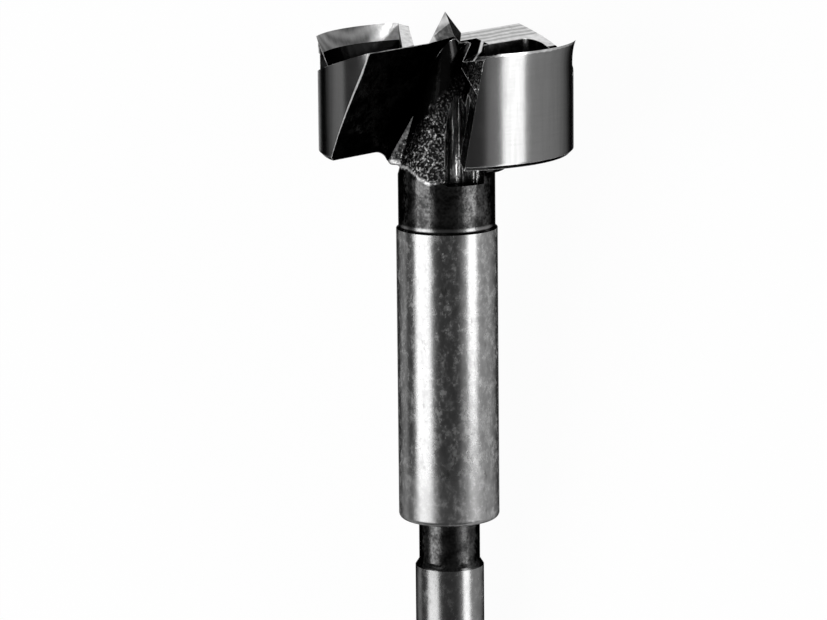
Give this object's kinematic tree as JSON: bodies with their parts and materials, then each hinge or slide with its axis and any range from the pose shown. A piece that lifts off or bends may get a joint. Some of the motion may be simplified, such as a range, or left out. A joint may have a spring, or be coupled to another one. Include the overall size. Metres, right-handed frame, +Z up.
{
  "type": "forstner bit",
  "caption": "Right-hand forstner bit with rim spurs, chip gullets, a centre point and a straight round shank, for boring flat-bottomed holes in wood.",
  "frame": {"origin": "on the bench surface, under the middle of the lying bit", "axes": "+Y towards the head along the bench, +Z up, +X to the right seen from the shank; the bit's axis rises towards the head"},
  "size_m": [0.03, 0.0898, 0.0287],
  "materials": {
    "tool_steel": "bright ground steel, with black hardening scale left in the gullets, pockets, neck and groove"
  },
  "bodies": {
    "root": {"forstner_bit": "tool_steel"}
  },
  "joints": []
}
